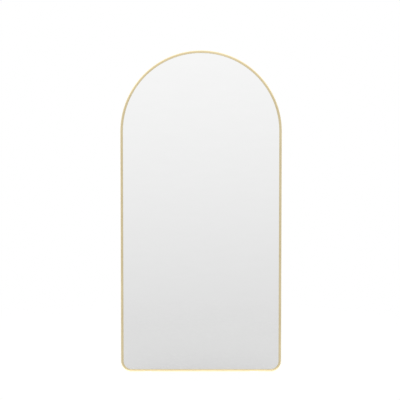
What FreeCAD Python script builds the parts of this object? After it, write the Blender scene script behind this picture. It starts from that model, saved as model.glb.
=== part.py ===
import FreeCAD, Part
import math
import os

import Sketcher

# Arch-topped leaning floor mirror. A thin brass-coloured aluminium frame in two bent members, an arch and a
# base with rounded corners, holds silvered glass bonded to a backing board.
# Millimetres. +Z is up, -Y is the reflecting front, +X is to the right of someone who faces the glass.
# The origin is at the floor, under the middle of the frame, half way between its face and its wall bumpers.

Vector = FreeCAD.Vector
Constraint = Sketcher.Constraint

# Driving dimensions: each becomes a cell of the sheet, and every sketch and feature is bound to those cells.
DIMENSIONS = {
    # outline
    "overall_width": 900,
    "overall_height": 1800,
    "corner_radius": 60,
    # frame section, an extrusion with a front lip, a web behind the board and a slotted channel at the back
    "face_width": 14,
    "frame_depth": 30,
    "shoulder_radius": 6,
    "inner_shoulder_width": 3,
    "wall_thickness": 1.5,
    "lip_thickness": 2,
    "web_thickness": 1.5,
    "return_thickness": 1.5,
    "back_edge_chamfer": 0.8,
    "slot_width": 6,
    # joints between the two frame members
    "joint_height": 160,
    "splice_length": 100,
    "splice_side_play": 0.2,
    "splice_thickness": 5,
    "set_screw_diameter": 5,
    "set_screw_count": 2,
    "set_screw_pitch": 50,
    "set_screw_socket_width": 2.5,
    "set_screw_socket_depth": 3,
    "set_screw_setback": 0.5,
    # what the frame holds, from the front
    "gasket_inset": 7,
    "gasket_width": 6,
    "gasket_thickness": 1,
    "glass_inset": 4.5,
    "glass_thickness": 4,
    "film_thickness": 0.2,
    "tape_thickness": 1,
    "tape_width": 25,
    "tape_length": 1300,
    "tape_count": 5,
    "tape_pitch": 150,
    "bead_width": 12,
    "bead_length": 1250,
    "bead_count": 4,
    "bonding_base_height": 110,
    "board_thickness": 9,
    # rubber blocks between the frame's walls and the edges of the glass and board
    "block_length": 80,
    "block_depth": 13.8,
    "block_setback": 0.1,
    "block_chamfer_width": 2.1,
    "block_chamfer_depth": 4.1,
    "setting_block_spacing": 450,
    "spacer_length": 40,
    "spacer_first_height": 450,
    "spacer_pitch": 700,
    # hangers
    "hanger_spacing": 660,
    "hanger_height": 1350,
    "strap_thickness": 1.2,
    "strap_width": 20,
    "strap_length": 50,
    "strap_end_radius": 8,
    "strap_throat": 9,
    "eye_play": 0.06,
    "strap_first_hole": 19,
    "strap_hole_pitch": 20,
    "strap_hole_diameter": 4.2,
    "strap_sink_diameter": 8,
    "ring_wire_diameter": 4,
    "ring_leg_length": 24,
    "ring_shoulder": 4,
    "ring_wire_sides": 8,
    "ring_bow_sides": 20,
    "ring_rest_tilt": 5,
    "screw_head_diameter": 7.8,
    "screw_core_diameter": 3,
    "screw_length": 10,
    "screw_recess_span": 4.4,
    "screw_recess_width": 1.1,
    "screw_recess_depth": 1.6,
    "pilot_depth": 8,
    # rubber that meets the wall and the floor
    "bumper_length": 20,
    "bumper_head_width": 12,
    "bumper_height": 3,
    "bumper_edge_chamfer": 1,
    "bumper_neck_width": 5.6,
    "bumper_foot_width": 10,
    "bumper_foot_thickness": 2,
    "bumper_foot_play": 0.1,
    "upper_bumper_angle": 25,
    "lower_bumper_height": 260,
    "pad_thickness": 1.5,
    "pad_length": 50,
    "pad_depth": 20,
    "pad_corner_chamfer": 4,
    "pad_spacing": 600,
    "pad_setback": 8,
}

# Formulas that several pieces share.
HALF_WIDTH = "Dims.overall_width / 2"
ARCH_CENTRE = "(Dims.overall_height - Dims.overall_width / 2)"
FRONT = "-(Dims.frame_depth + Dims.bumper_height) / 2"
GASKET_FRONT = f"{FRONT} + Dims.lip_thickness"
GLASS_FRONT = f"{GASKET_FRONT} + Dims.gasket_thickness"
BLOCK_FRONT = f"{GLASS_FRONT} + Dims.block_setback"
FILM_FRONT = f"{GLASS_FRONT} + Dims.glass_thickness"
TAPE_FRONT = f"{FILM_FRONT} + Dims.film_thickness"
BOARD_FRONT = f"{TAPE_FRONT} + Dims.tape_thickness"
BOARD_BACK = f"{BOARD_FRONT} + Dims.board_thickness"
FRAME_BACK = f"{FRONT} + Dims.frame_depth"
STACK_DEPTH = (
    "(Dims.lip_thickness + Dims.gasket_thickness + Dims.glass_thickness + Dims.film_thickness"
    " + Dims.tape_thickness + Dims.board_thickness)"
)
CHANNEL_FLOOR = f"({STACK_DEPTH} + Dims.web_thickness)"
RETURN_FRONT = "(Dims.frame_depth - Dims.return_thickness)"
SLOT_OUTER = "(Dims.face_width - Dims.slot_width) / 2"
SLOT_INNER = "(Dims.face_width + Dims.slot_width) / 2"
SLOT_CENTRE = "Dims.face_width / 2"
EYE_RADIUS = "(Dims.ring_wire_diameter / 2 + Dims.eye_play)"
EYE_HEIGHT = f"(Dims.strap_thickness + {EYE_RADIUS})"

SIDES = {"left": -1, "right": 1}
SMALLEST_CUT = 1.0

document = FreeCAD.newDocument("floor_mirror")
dims = document.addObject("Spreadsheet::Sheet", "Dims")
for row, (alias, size) in enumerate(DIMENSIONS.items(), start=1):
    dims.set(f"A{row}", alias)
    dims.set(f"B{row}", str(size))
    dims.setAlias(f"B{row}", alias)
document.recompute()


def value(formula):
    """The number that a formula of sheet cells gives now."""
    return float(dims.evalExpression(formula))


# ---------------------------------------------------------------- sketches and features


def new_body(name):
    body = document.addObject("PartDesign::Body", name)
    body.Label = name
    body.AllowCompound = True
    return body


def place(body, x="0", y="0", z="0"):
    """Puts a body's own origin at x, y, z of the mirror, all formulas."""
    for axis, formula in zip("xyz", (x, y, z)):
        body.setExpression(f"Placement.Base.{axis}", formula)


def new_sketch(body, name, plane, offset="0", x="0", y="0"):
    """A sketch on one of the body's own origin planes, with its own origin moved along the plane's normal
    by offset and within the plane by x and y."""
    sketch = body.newObject("Sketcher::SketchObject", f"{body.Name}_{name}")
    support = next(f for f in body.Origin.OriginFeatures if f.Role == plane)
    sketch.AttachmentSupport = [(support, "")]
    sketch.MapMode = "FlatFace"
    for axis, formula in zip("xyz", (x, y, offset)):
        sketch.setExpression(f"AttachmentOffset.Base.{axis}", formula)
    return sketch


def bind(sketch, kind, *where, formula):
    """Adds a dimension to a sketch and binds it to a formula."""
    index = sketch.addConstraint(Constraint(kind, *where, value(formula)))
    sketch.setExpression(f"Constraints[{index}]", formula)


def pin_point(sketch, geometry, vertex, x, y):
    """Holds a point of a sketch at x, y, which are formulas. A zero puts it on that axis."""
    if x == "0":
        sketch.addConstraint(Constraint("PointOnObject", geometry, vertex, -2))
    else:
        bind(sketch, "DistanceX", -1, 1, geometry, vertex, formula=x)
    if y == "0":
        sketch.addConstraint(Constraint("PointOnObject", geometry, vertex, -1))
    else:
        bind(sketch, "DistanceY", -1, 1, geometry, vertex, formula=y)


def unit(vector):
    return vector / vector.Length


def add_polygon(sketch, corners):
    """A closed outline, counterclockwise, through corners (x, y) or (x, y, radius), which are formulas."""
    count = len(corners)
    points = [Vector(value(c[0]), value(c[1]), 0) for c in corners]
    radii = [value(c[2]) if len(c) > 2 else 0.0 for c in corners]
    starts, ends, centres, turns = [], [], [], []
    for i, point in enumerate(points):
        back = unit(points[i - 1] - point)
        ahead = unit(points[(i + 1) % count] - point)
        trim, to_centre = 0.0, Vector()
        if radii[i]:
            half_angle = back.getAngle(ahead) / 2
            trim = radii[i] / math.tan(half_angle)
            to_centre = unit(back + ahead) * (radii[i] / math.sin(half_angle))
        ends.append(point + back * trim)
        starts.append(point + ahead * trim)
        centres.append(point + to_centre)
        turns.append(ahead.cross(back).z > 0)
    lines = [sketch.addGeometry(Part.LineSegment(starts[i], ends[(i + 1) % count])) for i in range(count)]
    for i, corner in enumerate(corners):
        before, after = lines[i - 1], lines[i]
        if not radii[i]:
            sketch.addConstraint(Constraint("Coincident", before, 2, after, 1))
            pin_point(sketch, after, 1, corner[0], corner[1])
            continue
        first, last = (ends[i], starts[i]) if turns[i] else (starts[i], ends[i])
        from_centre = [p - centres[i] for p in (first, last)]
        angles = [math.atan2(p.y, p.x) for p in from_centre]
        circle = Part.Circle(centres[i], Vector(0, 0, 1), radii[i])
        arc = sketch.addGeometry(Part.ArcOfCircle(circle, *angles))
        near, far = (1, 2) if turns[i] else (2, 1)
        sketch.addConstraint(Constraint("Tangent", before, 2, arc, near))
        sketch.addConstraint(Constraint("Tangent", arc, far, after, 1))
        bind(sketch, "Radius", arc, formula=corner[2])
        sharp = sketch.addGeometry(Part.Point(points[i]), True)
        pin_point(sketch, sharp, 1, corner[0], corner[1])
        sketch.addConstraint(Constraint("PointOnObject", sharp, 1, before))
        sketch.addConstraint(Constraint("PointOnObject", sharp, 1, after))


def add_rectangle(sketch, left, bottom, right, top):
    add_polygon(sketch, [(left, bottom), (right, bottom), (right, top), (left, top)])


def regular_corners(count, radius, x="0", y="0", first_degrees=0.0):
    """The corners of a regular polygon about x, y."""
    corners = []
    for number in range(count):
        angle = f"{first_degrees + 360 / count * number} deg"
        corners.append((f"{x} + {radius} * cos({angle})", f"{y} + {radius} * sin({angle})"))
    return corners


def add_circle(sketch, x, y, radius):
    centre = Vector(value(x), value(y), 0)
    circle = sketch.addGeometry(Part.Circle(centre, Vector(0, 0, 1), value(radius)))
    bind(sketch, "Radius", circle, formula=radius)
    pin_point(sketch, circle, 3, x, y)


def add_arc(sketch, x, y, radius, first_degrees, last_degrees):
    """An arc, not yet constrained, with its centre at x, y."""
    circle = Part.Circle(Vector(value(x), value(y), 0), Vector(0, 0, 1), value(radius))
    return sketch.addGeometry(
        Part.ArcOfCircle(circle, math.radians(first_degrees), math.radians(last_degrees))
    )


def add_line(sketch, x1, y1, x2, y2):
    """A line, not yet constrained."""
    first = Vector(value(x1), value(y1), 0)
    last = Vector(value(x2), value(y2), 0)
    return sketch.addGeometry(Part.LineSegment(first, last))


def join_tangent(sketch, joints):
    """Each joint is (geometry, vertex, geometry, vertex): two ends that meet and run on smoothly."""
    for joint in joints:
        sketch.addConstraint(Constraint("Tangent", *joint))


def add_arch_outline(sketch, inset):
    """The mirror's closed outline, moved inwards by inset: two round corners and a half-round top."""
    side = f"{HALF_WIDTH} - {inset}"
    base = f"Dims.pad_thickness + {inset}"
    corner_x = f"{HALF_WIDTH} - Dims.corner_radius"
    corner_z = "Dims.pad_thickness + Dims.corner_radius"
    corner_radius = f"Dims.corner_radius - {inset}"
    bottom = add_line(sketch, f"-({corner_x})", base, corner_x, base)
    right_corner = add_arc(sketch, corner_x, corner_z, corner_radius, -90, 0)
    right = add_line(sketch, side, corner_z, side, ARCH_CENTRE)
    top = add_arc(sketch, "0", ARCH_CENTRE, side, 0, 180)
    left = add_line(sketch, f"-({side})", ARCH_CENTRE, f"-({side})", corner_z)
    left_corner = add_arc(sketch, f"-({corner_x})", corner_z, corner_radius, 180, 270)
    loop = [bottom, right_corner, right, top, left, left_corner]
    join_tangent(sketch, [(a, 2, b, 1) for a, b in zip(loop, loop[1:] + loop[:1])])
    sketch.addConstraint(Constraint("Horizontal", bottom))
    sketch.addConstraint(Constraint("Vertical", right))
    sketch.addConstraint(Constraint("Vertical", left))
    pin_point(sketch, top, 3, "0", ARCH_CENTRE)
    bind(sketch, "Radius", top, formula=side)
    bind(sketch, "Radius", right_corner, formula=corner_radius)
    bind(sketch, "Radius", left_corner, formula=corner_radius)
    bind(sketch, "DistanceY", -1, 1, bottom, 1, formula=base)


def pad(body, sketch, length, reverse=False, both_ways=False):
    feature = body.newObject("PartDesign::Pad", f"{sketch.Name}_pad")
    feature.Profile = sketch
    feature.setExpression("Length", length)
    feature.Reversed = reverse
    feature.Midplane = both_ways
    return feature


def pocket(body, sketch, depth, reverse=False, both_ways=False):
    feature = body.newObject("PartDesign::Pocket", f"{sketch.Name}_pocket")
    feature.Profile = sketch
    feature.setExpression("Length", depth)
    feature.Reversed = reverse
    feature.Midplane = both_ways
    return feature


def revolve(body, sketch):
    """A full turn of a half profile about the sketch's own horizontal axis."""
    feature = body.newObject("PartDesign::Revolution", f"{sketch.Name}_revolution")
    feature.Profile = sketch
    feature.ReferenceAxis = (sketch, ["H_Axis"])
    feature.Angle = 360
    return feature


def sweep(body, section, path):
    feature = body.newObject("PartDesign::AdditivePipe", f"{body.Name}_sweep")
    feature.Profile = section
    feature.Spine = (path, [])
    return feature


def repeat(body, feature, axis, count, spread):
    """Repeats a feature along an origin axis of the body, with the last one spread away from the first."""
    pattern = body.newObject("PartDesign::LinearPattern", f"{feature.Name}_row")
    pattern.Originals = [feature]
    direction = next(f for f in body.Origin.OriginFeatures if f.Role == axis)
    pattern.Direction = (direction, [""])
    pattern.setExpression("Occurrences", count)
    pattern.setExpression("Length", spread)
    body.Tip = pattern


def edge_names(shape, wanted):
    """The names of the edges whose midpoint and direction there pass the test."""
    names = []
    for number, edge in enumerate(shape.Edges, start=1):
        halfway = (edge.FirstParameter + edge.LastParameter) / 2
        if wanted(edge.valueAt(halfway), edge.tangentAt(halfway)):
            names.append(f"Edge{number}")
    return names


def fillet(body, base, wanted, radius):
    """Rounds the edges of the base feature that pass the test."""
    document.recompute()
    feature = body.newObject("PartDesign::Fillet", f"{base.Name}_fillet")
    feature.Base = (base, edge_names(base.Shape, wanted))
    feature.setExpression("Radius", radius)


# ---------------------------------------------------------------- frame


def frame_section(body):
    """The extrusion's section at the joint, its outer front corner on the outline. The glass and board lie
    between the lip and the web; the channel behind the web is open to the back along a slot."""
    section = new_sketch(body, "section", "XY_Plane", "Dims.joint_height", x=f"-({HALF_WIDTH})")
    inner_wall = "Dims.face_width - Dims.wall_thickness"
    add_polygon(
        section,
        [
            ("0", "0", "Dims.shoulder_radius"),
            ("Dims.face_width", "0"),
            ("Dims.face_width", "Dims.lip_thickness"),
            ("Dims.wall_thickness + Dims.inner_shoulder_width", "Dims.lip_thickness"),
            ("Dims.wall_thickness", "Dims.lip_thickness + Dims.inner_shoulder_width"),
            ("Dims.wall_thickness", STACK_DEPTH),
            ("Dims.face_width", STACK_DEPTH),
            ("Dims.face_width", "Dims.frame_depth"),
            (SLOT_INNER, "Dims.frame_depth"),
            (SLOT_INNER, RETURN_FRONT),
            (inner_wall, RETURN_FRONT),
            (inner_wall, CHANNEL_FLOOR),
            ("Dims.wall_thickness", CHANNEL_FLOOR),
            ("Dims.wall_thickness", RETURN_FRONT),
            (SLOT_OUTER, RETURN_FRONT),
            (SLOT_OUTER, "Dims.frame_depth"),
            ("Dims.back_edge_chamfer", "Dims.frame_depth"),
            ("0", "Dims.frame_depth - Dims.back_edge_chamfer"),
        ],
    )
    return section


def make_frame_arch():
    """The upper member: one length of extrusion bent into a half circle between two straight legs."""
    body = new_body("frame_arch")
    path = new_sketch(body, "path", "XZ_Plane")
    left = add_line(path, f"-({HALF_WIDTH})", "Dims.joint_height", f"-({HALF_WIDTH})", ARCH_CENTRE)
    arch = add_arc(path, "0", ARCH_CENTRE, HALF_WIDTH, 0, 180)
    right = add_line(path, HALF_WIDTH, ARCH_CENTRE, HALF_WIDTH, "Dims.joint_height")
    join_tangent(path, [(left, 2, arch, 2), (arch, 1, right, 1)])
    path.addConstraint(Constraint("Vertical", left))
    path.addConstraint(Constraint("Vertical", right))
    pin_point(path, arch, 3, "0", ARCH_CENTRE)
    bind(path, "Radius", arch, formula=HALF_WIDTH)
    bind(path, "DistanceY", -1, 1, left, 1, formula="Dims.joint_height")
    bind(path, "DistanceY", -1, 1, right, 2, formula="Dims.joint_height")
    sweep(body, frame_section(body), path)
    place(body, y=FRONT)
    return body


def make_frame_base():
    """The lower member: the same extrusion with two tight bends, its ends standing up to meet the arch."""
    body = new_body("frame_base")
    path = new_sketch(body, "path", "XZ_Plane")
    corner_x = f"{HALF_WIDTH} - Dims.corner_radius"
    corner_z = "Dims.pad_thickness + Dims.corner_radius"
    left = add_line(path, f"-({HALF_WIDTH})", "Dims.joint_height", f"-({HALF_WIDTH})", corner_z)
    left_corner = add_arc(path, f"-({corner_x})", corner_z, "Dims.corner_radius", 180, 270)
    bottom = add_line(path, f"-({corner_x})", "Dims.pad_thickness", corner_x, "Dims.pad_thickness")
    right_corner = add_arc(path, corner_x, corner_z, "Dims.corner_radius", 270, 360)
    right = add_line(path, HALF_WIDTH, corner_z, HALF_WIDTH, "Dims.joint_height")
    chain = [left, left_corner, bottom, right_corner, right]
    join_tangent(path, [(a, 2, b, 1) for a, b in zip(chain, chain[1:])])
    path.addConstraint(Constraint("Vertical", left))
    path.addConstraint(Constraint("Horizontal", bottom))
    path.addConstraint(Constraint("Vertical", right))
    pin_point(path, left, 1, f"-({HALF_WIDTH})", "Dims.joint_height")
    pin_point(path, right, 2, HALF_WIDTH, "Dims.joint_height")
    bind(path, "Radius", left_corner, formula="Dims.corner_radius")
    bind(path, "Radius", right_corner, formula="Dims.corner_radius")
    bind(path, "DistanceY", -1, 1, bottom, 1, formula="Dims.pad_thickness")
    sweep(body, frame_section(body), path)
    place(body, y=FRONT)
    return body


def splice_x(side):
    """The middle of the frame's back channel in a leg, on one side."""
    return f"{SIDES[side]} * ({HALF_WIDTH} - {SLOT_CENTRE})"


def set_screw_height():
    """The lowest set screw, from the middle of the splice bar."""
    return "(Dims.set_screw_count - 1) * Dims.set_screw_pitch / 2"


def make_splice_bar(side):
    """A steel bar across a joint, inside the back channel, pressed against the channel's returns."""
    body = new_body(f"splice_bar_{side}")
    half_width = "(Dims.face_width / 2 - Dims.wall_thickness - Dims.splice_side_play)"
    outline = new_sketch(body, "outline", "XZ_Plane")
    half_length = "Dims.splice_length / 2"
    add_rectangle(outline, f"-{half_width}", f"-({half_length})", half_width, half_length)
    bar = pad(body, outline, "Dims.splice_thickness")
    holes = new_sketch(body, "hole", "XZ_Plane")
    add_circle(holes, "0", f"-({set_screw_height()})", "Dims.set_screw_diameter / 2")
    hole = pocket(body, holes, "3 * Dims.splice_thickness", both_ways=True)
    spread = "(Dims.set_screw_count - 1) * Dims.set_screw_pitch"
    repeat(body, hole, "Z_Axis", "Dims.set_screw_count", spread)
    place(body, splice_x(side), f"{FRONT} + {RETURN_FRONT}", "Dims.joint_height")
    return body


def make_splice_screws():
    """Socket set screws through the splice bars, driven from the back against the floor of the channel."""
    body = new_body("splice_screws")
    length = f"({RETURN_FRONT} - {CHANNEL_FLOOR} - Dims.set_screw_setback)"
    across_flats = "Dims.set_screw_socket_width"
    half_corners = f"{across_flats} / cos(30 deg) / 2"
    rods = new_sketch(body, "rods", "XZ_Plane")
    sockets = new_sketch(body, "sockets", "XZ_Plane", f"-{length}")
    for side in SIDES:
        for row in range(DIMENSIONS["set_screw_count"]):
            height = f"{row} * Dims.set_screw_pitch - {set_screw_height()}"
            add_circle(rods, splice_x(side), height, "Dims.set_screw_diameter / 2")
            add_polygon(sockets, regular_corners(6, half_corners, splice_x(side), height))
    pad(body, rods, length, reverse=True)
    pocket(body, sockets, "Dims.set_screw_socket_depth", reverse=True)
    place(body, y=f"{FRONT} + {CHANNEL_FLOOR}", z="Dims.joint_height")
    return body


# ---------------------------------------------------------------- glass, board and what lies between


def make_sheet(name, thickness, front):
    """A flat sheet cut to the mirror's outline, to stand clear of the frame's walls all round."""
    body = new_body(name)
    outline = new_sketch(body, "outline", "XZ_Plane")
    add_arch_outline(outline, "Dims.glass_inset")
    pad(body, outline, thickness, reverse=True)
    place(body, y=front)
    return body


def make_gasket():
    """A foam strip behind the lip that the face of the glass is drawn against."""
    body = new_body("glazing_gasket")
    outline = new_sketch(body, "outline", "XZ_Plane")
    add_arch_outline(outline, "Dims.gasket_inset")
    add_arch_outline(outline, "(Dims.gasket_inset + Dims.gasket_width)")
    pad(body, outline, "Dims.gasket_thickness", reverse=True)
    place(body, y=GASKET_FRONT)
    return body


def make_bonding(name, width, length, count):
    """A row of upright strips between the glass and the board, so that air can rise between them."""
    body = new_body(name)
    strip = new_sketch(body, "strip", "XZ_Plane")
    add_rectangle(strip, f"-{width} / 2", "0", f"{width} / 2", length)
    first = pad(body, strip, "Dims.tape_thickness", reverse=True)
    spread = f"({count} - 1) * Dims.tape_pitch"
    repeat(body, first, "X_Axis", count, spread)
    place(body, f"-({spread}) / 2", TAPE_FRONT, "Dims.bonding_base_height")
    return body


def make_backing_board():
    """Black-faced fibreboard with a pilot hole for each hanger screw."""
    body = make_sheet("backing_board", "Dims.board_thickness", BOARD_FRONT)
    pilots = new_sketch(body, "pilots", "XZ_Plane", "-Dims.board_thickness", y="Dims.hanger_height")
    for side, row, x, height in hanger_holes():
        add_circle(pilots, x, height, "Dims.screw_core_diameter / 2")
    pocket(body, pilots, "Dims.pilot_depth", reverse=True)
    return body


def make_setting_block(side):
    """A rubber block that carries the weight of the glass and board, chamfered to clear the shoulder."""
    body = new_body(f"setting_block_{side}")
    height = "(Dims.glass_inset - Dims.wall_thickness)"
    section = new_sketch(body, "section", "YZ_Plane")
    add_polygon(
        section,
        [
            ("Dims.block_chamfer_depth", "0"),
            ("Dims.block_depth", "0"),
            ("Dims.block_depth", height),
            ("0", height),
            ("0", "Dims.block_chamfer_width"),
        ],
    )
    pad(body, section, "Dims.block_length", both_ways=True)
    offset = f"{SIDES[side]} * Dims.setting_block_spacing / 2"
    place(body, offset, BLOCK_FRONT, "Dims.pad_thickness + Dims.wall_thickness")
    return body


def make_edge_spacers():
    """Foam spacers that keep the glass and board from knocking on the legs of the frame."""
    body = new_body("edge_spacers")
    outer = f"({HALF_WIDTH} - Dims.wall_thickness)"
    inner = f"({HALF_WIDTH} - Dims.glass_inset)"
    section = new_sketch(body, "section", "XY_Plane")
    front = "Dims.block_chamfer_depth"
    for left, right in ((f"-{outer}", f"-{inner}"), (inner, outer)):
        add_rectangle(section, left, front, right, "Dims.block_depth")
    pair = pad(body, section, "Dims.spacer_length")
    repeat(body, pair, "Z_Axis", "2", "Dims.spacer_pitch")
    place(body, y=BLOCK_FRONT, z="Dims.spacer_first_height")
    return body


# ---------------------------------------------------------------- hangers


def hanger_x(side):
    return f"{SIDES[side]} * Dims.hanger_spacing / 2"


def add_folded_strip(fold):
    """The side of a steel strip folded double, with its fold rolled into a teardrop eye."""
    thickness = "Dims.strap_thickness"
    doubled = f"2 * {thickness}"
    wrap = math.degrees(2 * math.atan2(value(EYE_RADIUS), value("Dims.strap_throat")))
    # the outside: up the back, round the eye, and down on to the doubled strip
    back = add_line(fold, "0", "0", "0", "-Dims.strap_length")
    end = add_line(fold, "0", "-Dims.strap_length", doubled, "-Dims.strap_length")
    face = add_line(fold, doubled, "-Dims.strap_length", doubled, "-Dims.strap_throat")
    eye = add_arc(fold, EYE_HEIGHT, "0", f"{EYE_RADIUS} + {thickness}", -wrap, 180)
    slope_ends = (fold.Geometry[face].EndPoint, fold.Geometry[eye].StartPoint)
    slope = fold.addGeometry(Part.LineSegment(*slope_ends))
    for first, second in ((back, end), (end, face), (face, slope)):
        fold.addConstraint(Constraint("Coincident", first, 2, second, 1))
    join_tangent(fold, [(slope, 2, eye, 1), (eye, 2, back, 1)])
    pin_point(fold, back, 2, "0", "-Dims.strap_length")
    fold.addConstraint(Constraint("Vertical", back))
    fold.addConstraint(Constraint("Horizontal", end))
    fold.addConstraint(Constraint("Vertical", face))
    bind(fold, "DistanceX", -1, 1, face, 1, formula=doubled)
    pin_point(fold, eye, 3, EYE_HEIGHT, "0")
    # the inside: the eye's bore and the narrow throat where the two layers come together
    bore = add_arc(fold, EYE_HEIGHT, "0", EYE_RADIUS, -wrap, 180)
    under = add_line(fold, thickness, "0", thickness, "-Dims.strap_throat")
    throat_ends = (fold.Geometry[under].EndPoint, fold.Geometry[bore].StartPoint)
    throat = fold.addGeometry(Part.LineSegment(*throat_ends))
    join_tangent(fold, [(bore, 2, under, 1), (throat, 2, bore, 1)])
    fold.addConstraint(Constraint("Coincident", under, 2, throat, 1))
    fold.addConstraint(Constraint("Vertical", under))
    pin_point(fold, under, 2, thickness, "-Dims.strap_throat")
    fold.addConstraint(Constraint("Coincident", bore, 3, eye, 3))
    fold.addConstraint(Constraint("Parallel", slope, throat))


def hanger_holes():
    """Where the hangers' screws go: side, row, and x and z from the line of the rings' hinges."""
    return [
        (side, row, hanger_x(side), f"-(Dims.strap_first_hole + {row} * Dims.strap_hole_pitch)")
        for side in SIDES
        for row in range(2)
    ]


def make_hanger_straps():
    """The two straps that hold the rings, each with a round end and two countersunk holes."""
    body = new_body("hanger_straps")
    for side in SIDES:
        fold = new_sketch(body, f"fold_{side}", "YZ_Plane", hanger_x(side))
        add_folded_strip(fold)
        strips = pad(body, fold, "Dims.strap_width", both_ways=True)
    end_height = -value("Dims.strap_length")

    def is_end_corner(middle, along):
        return abs(along.y) > 0.9 and abs(middle.z - end_height) < 0.1

    fillet(body, strips, is_end_corner, "Dims.strap_end_radius")
    centres = new_sketch(body, "holes", "XZ_Plane", "-2 * Dims.strap_thickness")
    for side, row, x, height in hanger_holes():
        add_circle(centres, x, height, "Dims.strap_hole_diameter / 2")
    document.recompute()
    hole = body.newObject("PartDesign::Hole", "hanger_straps_hole")
    hole.Profile = centres
    document.recompute()
    hole.setExpression("Diameter", "Dims.strap_hole_diameter")
    hole.DepthType = "ThroughAll"
    hole.HoleCutType = "Countersink"
    hole.HoleCutCustomValues = True
    hole.HoleCutCountersinkAngle = 90
    hole.setExpression("HoleCutDiameter", "Dims.strap_sink_diameter")
    hole.Reversed = True
    place(body, y=BOARD_BACK, z="Dims.hanger_height")
    return body


def make_hanger_ring(side):
    """A D-shaped wire ring that hangs from the strap's eye and rests on the strap, tilted a little. Its
    bow is drawn as short straight runs."""
    body = new_body(f"hanger_ring_{side}")
    half_leg = "Dims.ring_leg_length / 2"
    shoulder = "Dims.ring_shoulder"
    bow = f"({half_leg} + {shoulder})"
    runs = DIMENSIONS["ring_bow_sides"]
    corners = [("0", "0"), (f"-({half_leg})", "0")]
    for number in range(runs + 1):
        angle = f"{180 / runs * number} deg"
        corners.append((f"-{bow} * cos({angle})", f"-({shoulder} + {bow} * sin({angle}))"))
    corners.append((half_leg, "0"))
    path = new_sketch(body, "path", "XZ_Plane")
    add_polygon(path, corners)
    wire = new_sketch(body, "wire", "YZ_Plane")
    sides = DIMENSIONS["ring_wire_sides"]
    add_polygon(
        wire, regular_corners(sides, "Dims.ring_wire_diameter / 2", first_degrees=180 / sides)
    )
    ring = sweep(body, wire, path)
    ring.Transition = "Right corner"
    place(body, hanger_x(side), f"{BOARD_BACK} + {EYE_HEIGHT}", "Dims.hanger_height")
    body.Placement.Rotation = FreeCAD.Rotation(Vector(1, 0, 0), 1)
    body.setExpression("Placement.Rotation.Angle", "Dims.ring_rest_tilt * 1 deg")
    return body


def make_hanger_screws():
    """Countersunk screws that hold the straps to the board, with a cross recess in each head."""
    body = new_body("hanger_screws")
    head = "Dims.screw_head_diameter / 2"
    core = "Dims.screw_core_diameter / 2"
    for side, row, x, height in hanger_holes():
        profile = new_sketch(body, f"profile_{side}_{row}", "YZ_Plane", x, y=height)
        add_polygon(
            profile,
            [
                ("-Dims.screw_length", "0"),
                ("0", "0"),
                ("0", head),
                (f"-({head} - {core})", core),
                ("-Dims.screw_length", core),
            ],
        )
        revolve(body, profile)
    long, short = "Dims.screw_recess_span / 2", "Dims.screw_recess_width / 2"
    arms = [(long, short), (short, short), (short, long)]
    recess = new_sketch(body, "recess", "XZ_Plane")
    for side, row, x, height in hanger_holes():
        corners = []
        for turn, (sign_x, sign_y) in enumerate([("+", "+"), ("-", "+"), ("-", "-"), ("+", "-")]):
            for across, up in arms if turn % 2 == 0 else arms[::-1]:
                corners.append((f"{x} {sign_x} {across}", f"{height} {sign_y} {up}"))
        add_polygon(recess, corners)
    pocket(body, recess, "Dims.screw_recess_depth", reverse=True)
    place(body, y=f"{BOARD_BACK} + 2 * Dims.strap_thickness", z="Dims.hanger_height")
    return body


# ---------------------------------------------------------------- rubber at the wall and the floor


def make_bumper(name, x, z, turn):
    """A short length of rubber extrusion whose foot slides in the frame's channel, behind its returns, and
    whose head meets the wall. It lies along the slot, turned about Y from upright."""
    body = new_body(name)
    section = new_sketch(body, "section", "XY_Plane")
    neck, foot, head = (f"Dims.bumper_{part}_width / 2" for part in ("neck", "foot", "head"))
    foot_back = "-(Dims.return_thickness + Dims.bumper_foot_play)"
    foot_front = f"{foot_back} - Dims.bumper_foot_thickness"
    right_half = [
        (foot, foot_front),
        (foot, foot_back),
        (neck, foot_back),
        (neck, "0"),
        (head, "0"),
        (head, "Dims.bumper_height - Dims.bumper_edge_chamfer"),
        (f"{head} - Dims.bumper_edge_chamfer", "Dims.bumper_height"),
    ]
    left_half = [(f"-({x})", y) for x, y in reversed(right_half)]
    add_polygon(section, right_half + left_half)
    pad(body, section, "Dims.bumper_length", both_ways=True)
    place(body, x, FRAME_BACK, z)
    body.Placement.Rotation = FreeCAD.Rotation(Vector(0, 1, 0), 1)
    body.setExpression("Placement.Rotation.Angle", turn)
    return body


def make_upper_bumper(side):
    """Near the top of the arch, where a leaning mirror meets the wall."""
    sign = SIDES[side]
    radius = f"({HALF_WIDTH} - {SLOT_CENTRE})"
    angle = "Dims.upper_bumper_angle * 1 deg"
    x = f"{sign} * {radius} * sin({angle})"
    z = f"{ARCH_CENTRE} + {radius} * cos({angle})"
    return make_bumper(f"upper_bumper_{side}", x, z, f"90 deg + {sign} * {angle}")


def make_lower_bumper(side):
    """Low on a leg, to hold a hung mirror parallel to the wall."""
    return make_bumper(f"lower_bumper_{side}", splice_x(side), "Dims.lower_bumper_height", "0 deg")


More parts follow.
